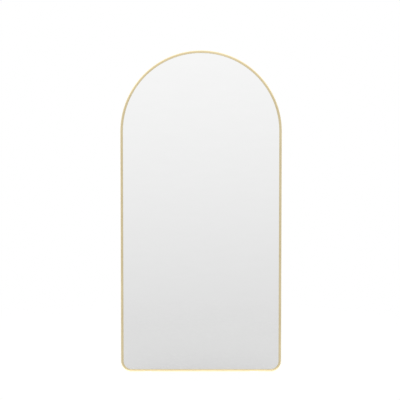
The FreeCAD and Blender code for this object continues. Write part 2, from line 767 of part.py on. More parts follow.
def make_floor_pad(side):
    """A clear rubber pad under the base, thin enough not to show, that stops the mirror sliding."""
    body = new_body(f"floor_pad_{side}")
    outline = new_sketch(body, "outline", "XY_Plane")
    end, cut, depth = "Dims.pad_length / 2", "Dims.pad_corner_chamfer", "Dims.pad_depth"
    right_half = [
        (f"{end} - {cut}", "0"),
        (end, cut),
        (end, f"{depth} - {cut}"),
        (f"{end} - {cut}", depth),
    ]
    left_half = [(f"-({x})", y) for x, y in reversed(right_half)]
    add_polygon(outline, right_half + left_half)
    pad(body, outline, "Dims.pad_thickness")
    place(body, f"{SIDES[side]} * Dims.pad_spacing / 2", f"{FRONT} + Dims.pad_setback")
    return body


# ---------------------------------------------------------------- the whole mirror


def build():
    bodies = [
        make_frame_arch(),
        make_frame_base(),
        make_gasket(),
        make_sheet("mirror_glass", "Dims.glass_thickness", GLASS_FRONT),
        make_sheet("safety_film", "Dims.film_thickness", FILM_FRONT),
        make_bonding("mounting_tape", "Dims.tape_width", "Dims.tape_length", "Dims.tape_count"),
        make_bonding("adhesive_beads", "Dims.bead_width", "Dims.bead_length", "Dims.bead_count"),
        make_backing_board(),
        make_edge_spacers(),
        make_splice_screws(),
        make_hanger_straps(),
        make_hanger_screws(),
    ]
    for side in SIDES:
        bodies += [
            make_splice_bar(side),
            make_setting_block(side),
            make_hanger_ring(side),
            make_upper_bumper(side),
            make_lower_bumper(side),
            make_floor_pad(side),
        ]
    return bodies


def check(bodies):
    """Stops the run if an object failed, a cut removed nothing or a sub-part isn't a valid solid."""
    for item in document.Objects:
        if {"Invalid", "Error"} & set(item.State):
            raise RuntimeError(f"{item.Label} failed: {item.State}")
        if item.TypeId == "Sketcher::SketchObject" and not item.FullyConstrained:
            raise RuntimeError(f"{item.Label} isn't fully constrained")
        if item.TypeId in ("PartDesign::Pocket", "PartDesign::Hole"):
            if item.BaseFeature.Shape.Volume - item.Shape.Volume < SMALLEST_CUT:
                raise RuntimeError(f"{item.Label} cuts nothing")
    for body in bodies:
        if body.Shape.isNull() or not body.Shape.isValid() or not body.Shape.Solids:
            raise RuntimeError(f"{body.Label} isn't a valid solid")


def export(bodies, folder="parts"):
    os.makedirs(folder, exist_ok=True)
    for body in bodies:
        body.Shape.exportStep(os.path.join(folder, f"{body.Label}.step"))
        size = body.Shape.BoundBox
        print(f"{body.Label}: {len(body.Shape.Solids)} solid, {body.Shape.Volume:.1f} mm3, {size}")


mirror_bodies = build()
document.recompute()
check(mirror_bodies)
export(mirror_bodies)
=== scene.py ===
import math

import bpy
from mathutils import Matrix, Vector
from mathutils.geometry import tessellate_polygon


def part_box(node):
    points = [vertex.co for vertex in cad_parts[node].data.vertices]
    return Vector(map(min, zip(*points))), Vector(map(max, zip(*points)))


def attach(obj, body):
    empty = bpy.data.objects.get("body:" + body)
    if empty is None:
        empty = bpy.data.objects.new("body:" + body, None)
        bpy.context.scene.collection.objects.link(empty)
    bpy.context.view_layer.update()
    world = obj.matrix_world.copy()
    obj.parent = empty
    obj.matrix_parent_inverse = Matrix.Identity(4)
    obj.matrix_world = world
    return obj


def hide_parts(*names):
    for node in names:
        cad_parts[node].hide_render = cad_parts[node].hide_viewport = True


# Arch-topped leaning floor mirror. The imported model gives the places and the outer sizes. The pieces here
# are its visible surfaces, built in metres in the same frame: -Y is the reflecting front and +Z is up.

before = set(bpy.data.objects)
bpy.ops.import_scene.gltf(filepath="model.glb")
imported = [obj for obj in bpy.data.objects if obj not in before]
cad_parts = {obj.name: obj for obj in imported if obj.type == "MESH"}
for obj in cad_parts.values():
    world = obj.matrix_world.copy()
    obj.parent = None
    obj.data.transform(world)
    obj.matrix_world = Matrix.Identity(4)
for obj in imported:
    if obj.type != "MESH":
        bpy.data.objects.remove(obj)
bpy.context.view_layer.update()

MM = 0.001
X = Vector((1, 0, 0))
Y = Vector((0, 1, 0))
Z = Vector((0, 0, 1))

# ---------------------------------------------------------------- sizes

arch_low, arch_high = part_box("frame_arch")
glass_low, glass_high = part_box("mirror_glass")
board_low, board_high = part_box("backing_board")
strap_low, strap_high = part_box("hanger_straps")
screw_low, screw_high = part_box("hanger_screws")

HALF_WIDTH = arch_high.x
FRONT = arch_low.y
FRAME_BACK = arch_high.y
JOINT = arch_low.z
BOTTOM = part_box("frame_base")[0].z
HEIGHT = 1800 * MM
ARCH_CENTRE = HEIGHT - HALF_WIDTH
CORNER_RADIUS = 60 * MM
CORNER_X = HALF_WIDTH - CORNER_RADIUS
CORNER_Z = BOTTOM + CORNER_RADIUS
SHEET_INSET = HALF_WIDTH - glass_high.x

FACE_WIDTH = 14 * MM
FRAME_DEPTH = FRAME_BACK - FRONT
SHOULDER_RADIUS = 6 * MM
WALL = 1.5 * MM
LIP = 2 * MM
INNER_SHOULDER = 3 * MM
WEB_FRONT = 17.2 * MM
WEB_BACK = 18.7 * MM
RETURN_FRONT = 28.5 * MM
SLOT_OUTER = 4 * MM
SLOT_INNER = 10 * MM
BACK_EDGE = 0.8 * MM
LIP_EDGE = 0.5 * MM
TINY_EDGE = 0.3 * MM
JOINT_BREAK = 0.22 * MM
GLASS_EDGE = 0.4 * MM
BOARD_EDGE = 0.15 * MM

STRAP_WIDTH = 20 * MM
STRAP_THICKNESS = 1.2 * MM
STRAP_LENGTH = 50 * MM
STRAP_END_RADIUS = 8 * MM
STRAP_THROAT = 9 * MM
STRAP_FLAT_TOP = 10 * MM
STRAP_EDGE = 0.2 * MM
KNEE_RADIUS = 1.8 * MM
HOLE_HEIGHTS = (-19 * MM, -39 * MM)
HOLE_RADIUS = 2.1 * MM
SINK_RADIUS = 4 * MM
EYE_RADIUS = 2.06 * MM
WIRE_RADIUS = 2 * MM
HANGER_X = strap_high.x - STRAP_WIDTH / 2
HINGE_Z = strap_low.z + STRAP_LENGTH
HINGE_Y = board_high.y + STRAP_THICKNESS + EYE_RADIUS
RING_TILT = math.radians(5)
RING_LEG = 12 * MM
RING_SHOULDER = 4 * MM
RING_BOW = RING_LEG + RING_SHOULDER
RING_SPACING = 0.4 * MM
RING_EASE_REACH = 3
RING_EASE_PASSES = 3

# How far the countersinks' normals lean up, against 1 sideways
SINK_LEAN = 0.7

SCREW_HEAD_RADIUS = 3.9 * MM
SCREW_CORE_RADIUS = 1.5 * MM
SCREW_TIP = 2 * MM
SCREW_TIP_RADIUS = 0.4 * MM
SCREW_HEAD_RIM = 0.2 * MM
SCREW_HEAD_EDGE = 0.12 * MM
RECESS_HALF_SPAN = 2.2 * MM
RECESS_HALF_WIDTH = 0.55 * MM
RECESS_DEPTH = 1.6 * MM
RECESS_CORNER = 0.15 * MM
RECESS_EDGE = 0.08 * MM
RECESS_TAPER = 0.22 * MM

BUMPER_HEIGHT = 3 * MM
BUMPER_HEAD = 6 * MM
BUMPER_NECK = 2.8 * MM
BUMPER_FOOT = 5 * MM
BUMPER_FOOT_BACK = -1.6 * MM
BUMPER_FOOT_FRONT = -3.6 * MM
BUMPER_HALF_LENGTH = 10 * MM
BUMPER_EDGE = 0.4 * MM
BUMPER_SHOULDER = 1.3 * MM
UPPER_BUMPER_ANGLE = math.radians(25)
LOWER_BUMPER_Z = 260 * MM
PAD_CORNER = 4 * MM
PAD_EDGE = 0.4 * MM

ARCH_STEPS = 144
CORNER_STEPS = 24
CIRCLE_STEPS = 48
HOLE_STEPS = 36
EYE_STEPS = 36
KNEE_STEPS = 6
WIRE_STEPS = 24
LARGE_CORNER = 3 * MM
LARGE_CORNER_FACTOR = 4

# ---------------------------------------------------------------- mesh code


def rounded(corners, steps=3):
    """A closed counterclockwise outline through corners (x, y, radius), as (point, outward normal) pairs.
    Every corner is an arc that runs smoothly into its straight neighbours, finer where it is large."""
    count = len(corners)
    result = []
    for i, (x, y, radius) in enumerate(corners):
        point = Vector((x, y))
        before = (Vector(corners[i - 1][:2]) - point).normalized()
        after = (Vector(corners[(i + 1) % count][:2]) - point).normalized()
        convex = after.x * before.y - after.y * before.x > 0
        half_angle = before.angle(after) / 2
        centre = point + (before + after).normalized() * (radius / math.sin(half_angle))
        turn = math.pi - 2 * half_angle
        first = point + before * (radius / math.tan(half_angle)) - centre
        corner_steps = max(2, round(steps * turn / (math.pi / 2)))
        if radius > LARGE_CORNER:
            corner_steps *= LARGE_CORNER_FACTOR
        for step in range(corner_steps + 1):
            angle = turn * step / corner_steps
            spoke = Matrix.Rotation(angle if convex else -angle, 2) @ first
            normal = spoke.normalized()
            result.append((centre + spoke, normal if convex else -normal))
    return result


def circle(x, y, radius, steps=CIRCLE_STEPS):
    """A round outline, as (point, outward normal) pairs."""
    result = []
    for step in range(steps):
        angle = 2 * math.pi * step / steps
        normal = Vector((math.cos(angle), math.sin(angle)))
        result.append((Vector((x, y)) + normal * radius, normal))
    return result


def arch_outline(gap):
    """The mirror's outline, moved inwards by gap, counterclockwise as the front shows it."""
    result = []
    for x, z, radius, first, last, steps in (
        (-CORNER_X, CORNER_Z, CORNER_RADIUS - gap, 180, 270, CORNER_STEPS),
        (CORNER_X, CORNER_Z, CORNER_RADIUS - gap, 270, 360, CORNER_STEPS),
        (0, ARCH_CENTRE, HALF_WIDTH - gap, 0, 180, ARCH_STEPS),
    ):
        for step in range(steps + 1):
            angle = math.radians(first + (last - first) * step / steps)
            normal = Vector((math.cos(angle), math.sin(angle)))
            result.append((Vector((x, z)) + normal * radius, normal))
    return result


class Shell:
    """Collects surfaces whose every vertex has its exact normal, and makes one mesh object of them. A place
    is (origin, across, up, along), where across, up and along are at right angles and right-handed."""

    def __init__(self):
        self.points = []
        self.normals = []
        self.faces = []
        self.zones = []
        self.uvs = []

    def ring(self, place, outline, depth=0.0, gap=0.0, out=1.0, lean=0.0):
        """An outline moved inwards by gap, depth along the axis. Its normals are out times the outline's
        own plus lean times the axis."""
        origin, across, up, along = place
        for point, normal in outline:
            moved = point - normal * gap
            self.points.append(origin + across * moved.x + up * moved.y + along * depth)
            self.normals.append(((across * normal.x + up * normal.y) * out + along * lean).normalized())
        return len(self.points) - len(outline)

    def join(self, low, high, outline, v_low, v_high, zone=0, inside=False):
        """Quads between two rings of the same outline, facing outwards, or inwards for a hole."""
        size = len(outline)
        u = 0.0
        for i in range(size):
            j = (i + 1) % size
            length = (outline[j][0] - outline[i][0]).length
            face = [low + i, low + j, high + j, high + i]
            uv = [(u, v_low), (u + length, v_low), (u + length, v_high), (u, v_high)]
            self.faces.append(face[::-1] if inside else face)
            self.uvs.append(uv[::-1] if inside else uv)
            self.zones.append(zone)
            u += length

    def cap(self, place, loops, depth, facing, zone=0):
        """A flat face between outlines (outline, gap): the first is its edge and the others are holes."""
        starts = [self.ring(place, outline, depth, gap, 0.0, facing) for outline, gap in loops]
        flat = [[point - normal * gap for point, normal in outline] for outline, gap in loops]
        points = [point for loop in flat for point in loop]
        for triangle in tessellate_polygon([[point.to_3d() for point in loop] for loop in flat]):
            a, b, c = (points[i] for i in triangle)
            area = (b.x - a.x) * (c.y - a.y) - (c.x - a.x) * (b.y - a.y)
            ordered = triangle if area * facing > 0 else triangle[::-1]
            self.faces.append([starts[0] + i for i in ordered])
            self.uvs.append([tuple(points[i]) for i in ordered])
            self.zones.append(zone)

    def slab(self, place, outline, rim, holes=(), zones=(0, 0, 0)):
        """A solid between two flat faces. rim is its edge's steps (depth, gap, out, lean) from the low face
        to the high one. A hole is (outline, steps, blind), with its steps down from the high face. zones
        are the materials' numbers on the low face, the sides and the high face."""
        rings = [self.ring(place, outline, *step) for step in rim]
        for i in range(len(rim) - 1):
            self.join(rings[i], rings[i + 1], outline, rim[i][0], rim[i + 1][0], zones[1])
        low = [(outline, rim[0][1])]
        high = [(outline, rim[-1][1])]
        for hole, steps, blind in holes:
            rings = [self.ring(place, hole, *step) for step in steps]
            for i in range(len(steps) - 1):
                self.join(rings[i + 1], rings[i], hole, steps[i + 1][0], steps[i][0], zones[1], True)
            high.append((hole, steps[0][1]))
            if blind:
                self.cap(place, [(hole, steps[-1][1])], steps[-1][0], 1, zones[1])
            else:
                low.append((hole, steps[-1][1]))
        self.cap(place, low, rim[0][0], -1, zones[0])
        self.cap(place, high, rim[-1][0], 1, zones[2])

    def sweep(self, outline, places, edge_break=0.0, closed=False, ends=True):
        """Carries an outline along places, with a broken edge and a flat face at each end, unless it closes
        on itself or its ends stay open."""
        rings = [self.ring(place, outline) for place in places]
        runs = [0.0]
        for first, second in zip(places, places[1:]):
            runs.append(runs[-1] + (second[0] - first[0]).length)
        for i in range(len(places) - 1):
            self.join(rings[i], rings[i + 1], outline, runs[i], runs[i + 1])
        if closed:
            last = (places[0][0] - places[-1][0]).length
            self.join(rings[-1], rings[0], outline, runs[-1], runs[-1] + last)
        elif ends:
            low = self.ring(places[0], outline, -edge_break, edge_break, 1, -1)
            self.join(low, rings[0], outline, runs[0] - edge_break, runs[0])
            self.cap(places[0], [(outline, edge_break)], -edge_break, -1)
            high = self.ring(places[-1], outline, edge_break, edge_break, 1, 1)
            self.join(rings[-1], high, outline, runs[-1], runs[-1] + edge_break)
            self.cap(places[-1], [(outline, edge_break)], edge_break, 1)

    def finish(self, name, body, slot, nodes, materials):
        """Makes the object, which stands for those nodes and moves with that body."""
        mesh = bpy.data.meshes.new(name)
        mesh.from_pydata([tuple(p) for p in self.points], [], self.faces)
        for material in materials:
            mesh.materials.append(material)
        mesh.polygons.foreach_set("material_index", self.zones)
        mesh.polygons.foreach_set("use_smooth", [True] * len(self.faces))
        layer = mesh.uv_layers.new(name="UVMap")
        layer.uv.foreach_set("vector", [value for uv in self.uvs for pair in uv for value in pair])
        mesh.update()
        mesh.normals_split_custom_set_from_vertices([tuple(n) for n in self.normals])
        thing = bpy.data.objects.new(name, mesh)
        bpy.context.scene.collection.objects.link(thing)
        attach(thing, body)
        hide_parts(*nodes)


def round_rim(depth, radius, steps=3, start=0.0):
    """The rim of a slab from start to depth, with both edges rounded over."""
    low = []
    high = []
    for step in range(steps + 1):
        angle = math.pi / 2 * step / steps
        gap = radius * (1 - math.sin(angle))
        drop = radius * (1 - math.cos(angle))
        low.append((start + drop, gap, math.sin(angle), -math.cos(angle)))
        high.append((depth - drop, gap, math.sin(angle), math.cos(angle)))
    return low + high[::-1]


def turned(places, pivot, angle):
    """Places turned about the X axis through pivot."""
    turn = Matrix.Rotation(angle, 3, "X")
    return [(pivot + turn @ (o - pivot), turn @ a, turn @ u, turn @ n) for o, a, u, n in places]


# ---------------------------------------------------------------- materials


def node(tree, kind, inputs=None, **settings):
    """A node with its settings, and its inputs set or linked by name."""
    made = tree.nodes.new(kind)
    for key, setting in settings.items():
        setattr(made, key, setting)
    for key, source in (inputs or {}).items():
        if isinstance(source, bpy.types.NodeSocket):
            tree.links.new(source, made.inputs[key])
        else:
            made.inputs[key].default_value = source
    return made


def math_node(tree, operation, first, second=0.0):
    return node(tree, "ShaderNodeMath", {0: first, 1: second}, operation=operation).outputs[0]


def weighted_sum(tree, first, first_share, second, second_share):
    first_part = math_node(tree, "MULTIPLY", first, first_share)
    second_part = math_node(tree, "MULTIPLY", second, second_share)
    return math_node(tree, "ADD", first_part, second_part)


def map_range(tree, source, from_low, from_high, to_low, to_high, smooth=False):
    """The source carried from one range to the other, and held at its ends."""
    inputs = {
        "Value": source,
        "From Min": from_low,
        "From Max": from_high,
        "To Min": to_low,
        "To Max": to_high,
    }
    kind = "SMOOTHSTEP" if smooth else "LINEAR"
    return node(tree, "ShaderNodeMapRange", inputs, interpolation_type=kind).outputs[0]


def ramp(tree, source, stops):
    """A colour ramp of (position, colour) stops."""
    made = node(tree, "ShaderNodeValToRGB", {"Fac": source})
    elements = made.color_ramp.elements
    while len(elements) < len(stops):
        elements.new(1.0)
    for element, (position, colour) in zip(elements, stops):
        element.position = position
        element.color = (*colour, 1.0)
    return made.outputs["Color"]


def noise(tree, vector, scale, detail=3.0, roughness=0.5):
    inputs = {"Vector": vector, "Scale": scale, "Detail": detail, "Roughness": roughness}
    return node(tree, "ShaderNodeTexNoise", inputs).outputs["Fac"]


def pits(tree, vector, scale):
    """Small round hollows, close together."""
    inputs = {"Vector": vector, "Scale": scale}
    return node(tree, "ShaderNodeTexVoronoi", inputs, feature="F1").outputs["Distance"]


def coordinates(tree, kind="Object", scale=(1.0, 1.0, 1.0)):
    """The object's coordinates, or its UVs, with each axis scaled."""
    source = node(tree, "ShaderNodeTexCoord").outputs[kind]
    return node(tree, "ShaderNodeMapping", {"Vector": source, "Scale": scale}).outputs["Vector"]


def new_material(name, **sockets):
    """A Principled material, as (material, tree, shader). Keywords are its sockets, with _ for a space."""
    material = bpy.data.materials.new(name)
    material.use_nodes = True
    tree = material.node_tree
    shader = next(n for n in tree.nodes if n.type == "BSDF_PRINCIPLED")
    for key, setting in sockets.items():
        shader.inputs[key.replace("_", " ")].default_value = setting
    return material, tree, shader


def feed(tree, shader, **sources):
    """Links sources to the shader's sockets, named as in new_material."""
    for key, source in sources.items():
        tree.links.new(source, shader.inputs[key.replace("_", " ")])


def bump(tree, height, distance, strength=1.0):
    inputs = {"Height": height, "Distance": distance, "Strength": strength}
    return node(tree, "ShaderNodeBump", inputs).outputs["Normal"]


def brushed_brass():
    """Brass-coloured anodising over a fine brushed grain that runs along each member."""
    material, tree, shader = new_material("brushed_brass", Metallic=1.0, Anisotropic=0.75)
    fine = noise(tree, coordinates(tree, "UV", (5200.0, 26.0, 1.0)), 1.0, 2.0)
    broad = noise(tree, coordinates(tree, "UV", (900.0, 3.2, 1.0)), 1.0, 3.0)
    cloud = noise(tree, coordinates(tree), 5.0, 4.0, 0.55)
    grain = weighted_sum(tree, fine, 0.55, broad, 0.45)
    tone = weighted_sum(tree, grain, 0.6, cloud, 0.4)
    stops = [(0.36, (0.66, 0.55, 0.327)), (0.5, (0.72, 0.61, 0.375)), (0.64, (0.78, 0.675, 0.438))]
    feed(tree, shader, Base_Color=ramp(tree, tone, stops))
    feed(tree, shader, Roughness=map_range(tree, grain, 0.3, 0.7, 0.32, 0.44))
    feed(tree, shader, Normal=bump(tree, grain, 0.00001, 0.35))
    tangent = node(tree, "ShaderNodeTangent", direction_type="UV_MAP", uv_map="UVMap").outputs[0]
    feed(tree, shader, Tangent=tangent)
    return material


def mirror_silver():
    """Silver behind float glass: all but perfect, with real glass's faint roller wave and wipe marks."""
    material, tree, shader = new_material("mirror_silver", Metallic=1.0)
    wave = noise(tree, coordinates(tree, "Object", (1.0, 1.0, 0.35)), 2.2, 1.0)
    wipe = noise(tree, coordinates(tree, "Object", (1.0, 1.0, 3.0)), 7.0, 6.0, 0.6)
    colour = ramp(tree, wipe, [(0.3, (0.8, 0.801, 0.8)), (0.7, (0.808, 0.809, 0.808))])
    feed(tree, shader, Base_Color=colour)
    feed(tree, shader, Roughness=map_range(tree, wipe, 0.3, 0.75, 0.004, 0.014))
    feed(tree, shader, Normal=bump(tree, wave, 0.00004, 0.2))
    return material


def glass_edge():
    material, tree, shader = new_material("glass_edge", IOR=1.52)
    grain = noise(tree, coordinates(tree), 900.0, 3.0)
    feed(tree, shader, Base_Color=ramp(tree, grain, [(0.35, (0.12, 0.27, 0.21)), (0.65, (0.2, 0.37, 0.3))]))
    feed(tree, shader, Roughness=map_range(tree, grain, 0.3, 0.7, 0.3, 0.5))
    return material


def silver_backing():
    """The grey lacquer over the silver."""
    material, tree, shader = new_material("silver_backing")
    mist = noise(tree, coordinates(tree), 260.0, 5.0)
    feed(tree, shader, Base_Color=ramp(tree, mist, [(0.3, (0.2, 0.23, 0.22)), (0.7, (0.25, 0.28, 0.27))]))
    feed(tree, shader, Roughness=map_range(tree, mist, 0.3, 0.7, 0.45, 0.6))
    return material


def black_laminate():
    """Black paper foil on fibreboard, pressed with a fine leather grain."""
    material, tree, shader = new_material("black_laminate", Specular_IOR_Level=0.4)
    place = coordinates(tree)
    cells = pits(tree, place, 620.0)
    soft = noise(tree, place, 240.0, 4.0, 0.6)
    patch = noise(tree, place, 3.5, 4.0, 0.55)
    scuff = noise(tree, coordinates(tree, "Object", (60.0, 1.0, 5.0)), 4.0, 5.0, 0.65)
    height = weighted_sum(tree, cells, 0.7, soft, 0.6)
    tone = weighted_sum(tree, patch, 0.7, scuff, 0.3)
    stops = [(0.35, (0.014, 0.014, 0.015)), (0.65, (0.024, 0.024, 0.025))]
    feed(tree, shader, Base_Color=ramp(tree, tone, stops))
    feed(tree, shader, Roughness=map_range(tree, tone, 0.35, 0.65, 0.42, 0.56))
    feed(tree, shader, Normal=bump(tree, height, 0.00009, 0.5))
    return material


def raw_fibreboard():
    material, tree, shader = new_material("raw_fibreboard", Roughness=0.9)
    fibre = noise(tree, coordinates(tree, "Object", (1.0, 5.0, 1.0)), 700.0, 6.0, 0.7)
    colour = ramp(tree, fibre, [(0.3, (0.21, 0.135, 0.075)), (0.7, (0.36, 0.25, 0.15))])
    feed(tree, shader, Base_Color=colour, Normal=bump(tree, fibre, 0.0001, 0.5))
    return material


def zinc_plate():
    """Bright zinc plating with the faint blue and straw cast of its passivation."""
    material, tree, shader = new_material("zinc_plate", Metallic=1.0)
    place = coordinates(tree)
    cast = noise(tree, place, 90.0, 3.0)
    grit = noise(tree, place, 2600.0, 4.0, 0.6)
    stops = [(0.3, (0.56, 0.59, 0.63)), (0.5, (0.63, 0.64, 0.645)), (0.72, (0.67, 0.655, 0.61))]
    feed(tree, shader, Base_Color=ramp(tree, cast, stops))
    feed(tree, shader, Roughness=map_range(tree, grit, 0.3, 0.7, 0.24, 0.4))
    feed(tree, shader, Normal=bump(tree, grit, 0.00002, 0.4))
    return material


def mill_steel():
    """Bare rolled steel, oiled, with its rolling marks upright."""
    material, tree, shader = new_material("mill_steel", Metallic=1.0)
    grain = noise(tree, coordinates(tree, "Object", (1900.0, 1900.0, 25.0)), 1.0, 4.0, 0.6)
    stain = noise(tree, coordinates(tree), 45.0, 5.0, 0.6)
    tone = weighted_sum(tree, grain, 0.5, stain, 0.5)
    stops = [(0.35, (0.3, 0.295, 0.29)), (0.65, (0.5, 0.495, 0.485))]
    feed(tree, shader, Base_Color=ramp(tree, tone, stops))
    feed(tree, shader, Roughness=map_range(tree, tone, 0.3, 0.7, 0.34, 0.52))
    feed(tree, shader, Normal=bump(tree, grain, 0.00003, 0.4))
    return material


def black_oxide():
    material, tree, shader = new_material("black_oxide", Metallic=1.0)
    grit = noise(tree, coordinates(tree), 1500.0, 4.0, 0.6)
    stops = [(0.3, (0.03, 0.03, 0.032)), (0.7, (0.065, 0.064, 0.062))]
    feed(tree, shader, Base_Color=ramp(tree, grit, stops))
    feed(tree, shader, Roughness=map_range(tree, grit, 0.3, 0.7, 0.34, 0.5))
    return material


def rubber(name, dark, light):
    """Matt moulded rubber with a fine speckle."""
    material, tree, shader = new_material(name, Specular_IOR_Level=0.35)
    place = coordinates(tree)
    grit = noise(tree, place, 1300.0, 5.0, 0.65)
    bloom = noise(tree, place, 130.0, 3.0)
    tone = weighted_sum(tree, grit, 0.5, bloom, 0.5)
    feed(tree, shader, Base_Color=ramp(tree, tone, [(0.35, dark), (0.65, light)]))
    feed(tree, shader, Roughness=map_range(tree, tone, 0.3, 0.7, 0.66, 0.86))
    feed(tree, shader, Normal=bump(tree, grit, 0.00005, 0.6))
    return material


def foam(name, dark, light):
    """Closed-cell foam: small round pits."""
    material, tree, shader = new_material(name, Roughness=0.95, Specular_IOR_Level=0.25)
    cells = pits(tree, coordinates(tree), 2400.0)
    feed(tree, shader, Base_Color=ramp(tree, cells, [(0.05, dark), (0.6, light)]))
    feed(tree, shader, Normal=bump(tree, cells, 0.0002, 0.7))
    return material


def clear_rubber():
    """Clear polyurethane, a little cloudy and faintly yellow."""
    material, tree, shader = new_material("clear_polyurethane", Transmission_Weight=1.0, IOR=1.46)
    cloud = noise(tree, coordinates(tree), 180.0, 4.0, 0.6)
    feed(tree, shader, Base_Color=ramp(tree, cloud, [(0.3, (0.86, 0.87, 0.83)), (0.7, (0.93, 0.93, 0.9))]))
    feed(tree, shader, Roughness=map_range(tree, cloud, 0.3, 0.7, 0.12, 0.28))
    return material


def vinyl_film():
    material, tree, shader = new_material("safety_vinyl", IOR=1.5)
    weave = noise(tree, coordinates(tree), 420.0, 3.0)
    feed(tree, shader, Base_Color=ramp(tree, weave, [(0.3, (0.5, 0.56, 0.62)), (0.7, (0.58, 0.63, 0.68))]))
    feed(tree, shader, Roughness=map_range(tree, weave, 0.3, 0.7, 0.25, 0.4))
    return material


def adhesive():
    material, tree, shader = new_material("neutral_adhesive", Roughness=0.45)
    lumps = noise(tree, coordinates(tree, "Object", (1.0, 1.0, 0.3)), 160.0, 3.0)
    feed(tree, shader, Base_Color=ramp(tree, lumps, [(0.3, (0.62, 0.61, 0.57)), (0.7, (0.74, 0.73, 0.69))]))
    feed(tree, shader, Normal=bump(tree, lumps, 0.0004, 0.6))
    return material


brass = brushed_brass()
silver = mirror_silver()
zinc = zinc_plate()
steel = mill_steel()
oxide = black_oxide()
laminate = black_laminate()
grey_rubber = rubber("grey_rubber", (0.075, 0.076, 0.08), (0.125, 0.126, 0.13))
block_foam = foam("black_foam", (0.01, 0.01, 0.011), (0.03, 0.03, 0.032))
tape_foam = foam("white_foam", (0.55, 0.55, 0.53), (0.78, 0.78, 0.76))

# ---------------------------------------------------------------- frame


def frame_outline():
    """The extrusion's section: inwards from the outline, and back from the front."""
    inner_wall = FACE_WIDTH - WALL
    return rounded(
        [
            (0, 0, SHOULDER_RADIUS),
            (FACE_WIDTH, 0, LIP_EDGE),
            (FACE_WIDTH, LIP, TINY_EDGE),
            (WALL + INNER_SHOULDER, LIP, TINY_EDGE),
            (WALL, LIP + INNER_SHOULDER, TINY_EDGE),
            (WALL, WEB_FRONT, TINY_EDGE),
            (FACE_WIDTH, WEB_FRONT, TINY_EDGE),
            (FACE_WIDTH, FRAME_DEPTH, TINY_EDGE),
            (SLOT_INNER, FRAME_DEPTH, TINY_EDGE),
            (SLOT_INNER, RETURN_FRONT, TINY_EDGE),
            (inner_wall, RETURN_FRONT, TINY_EDGE),
            (inner_wall, WEB_BACK, TINY_EDGE),
            (WALL, WEB_BACK, TINY_EDGE),
            (WALL, RETURN_FRONT, TINY_EDGE),
            (SLOT_OUTER, RETURN_FRONT, TINY_EDGE),
            (SLOT_OUTER, FRAME_DEPTH, TINY_EDGE),
            (0, FRAME_DEPTH, BACK_EDGE),
        ]
    )


def frame_place(x, z, inward, along):
    """A place on the mirror's outline, at the frame's front."""
    return Vector((x, FRONT, z)), inward, Y, along


def bend(x, z, radius, first, last, steps):
    """Places round a bend in degrees, clockwise as the front shows it."""
    places = []
    for step in range(steps + 1):
        angle = math.radians(first + (last - first) * step / steps)
        spoke = Vector((math.cos(angle), 0, math.sin(angle)))
        along = Vector((math.sin(angle), 0, -math.cos(angle)))
        places.append(frame_place(x + radius * spoke.x, z + radius * spoke.z, -spoke, along))
    return places


section = frame_outline()

arch_skin = Shell()
arch_skin.sweep(
    section,
    [frame_place(-HALF_WIDTH, JOINT + JOINT_BREAK, X, Z)]
    + bend(0, ARCH_CENTRE, HALF_WIDTH, 180, 0, ARCH_STEPS)
    + [frame_place(HALF_WIDTH, JOINT + JOINT_BREAK, -X, -Z)],
    JOINT_BREAK,
)
arch_skin.finish("frame_arch_brushed", "mirror", "brass_aluminium", ["frame_arch"], [brass])

base_skin = Shell()
base_skin.sweep(
    section,
    [frame_place(HALF_WIDTH, JOINT - JOINT_BREAK, -X, -Z)]
    + bend(CORNER_X, CORNER_Z, CORNER_RADIUS, 0, -90, CORNER_STEPS)
    + bend(-CORNER_X, CORNER_Z, CORNER_RADIUS, -90, -180, CORNER_STEPS)
    + [frame_place(-HALF_WIDTH, JOINT - JOINT_BREAK, X, Z)],
    JOINT_BREAK,
)
base_skin.finish("frame_base_brushed", "mirror", "brass_aluminium", ["frame_base"], [brass])

# ---------------------------------------------------------------- glass and board

sheet_outline = arch_outline(SHEET_INSET)
glass = Shell()
glass.slab(
    (Vector((0, glass_high.y, 0)), X, Z, -Y),
    sheet_outline,
    round_rim(glass_high.y - glass_low.y, GLASS_EDGE),
    zones=(2, 1, 0),
)
glass_finishes = [silver, glass_edge(), silver_backing()]
glass.finish("mirror_pane", "mirror", "silvered_glass", ["mirror_glass"], glass_finishes)

board = Shell()
board.slab(
    (Vector((0, board_high.y, 0)), X, Z, -Y),
    sheet_outline,
    round_rim(board_high.y - board_low.y, BOARD_EDGE),
    zones=(0, 1, 0),
)
board.finish("backing_panel", "mirror", "black_board", ["backing_board"], [laminate, raw_fibreboard()])

# ---------------------------------------------------------------- hangers


def strap_outline():
    """One layer of the strap's flat part, square at the top, where the folded eye begins."""
    half = STRAP_WIDTH / 2
    corners = rounded(
        [
            (-half, -STRAP_LENGTH, STRAP_END_RADIUS),
            (half, -STRAP_LENGTH, STRAP_END_RADIUS),
            (half, -STRAP_FLAT_TOP, TINY_EDGE),
            (-half, -STRAP_FLAT_TOP, TINY_EDGE),
        ],
        steps=4,
    )
    bottom = [(point, normal) for point, normal in corners if point.y < -STRAP_FLAT_TOP - STRAP_END_RADIUS]
    right = (Vector((half, -STRAP_FLAT_TOP)), Vector((1, 0)))
    left = (Vector((-half, -STRAP_FLAT_TOP)), Vector((-1, 0)))
    return bottom + [right, left]


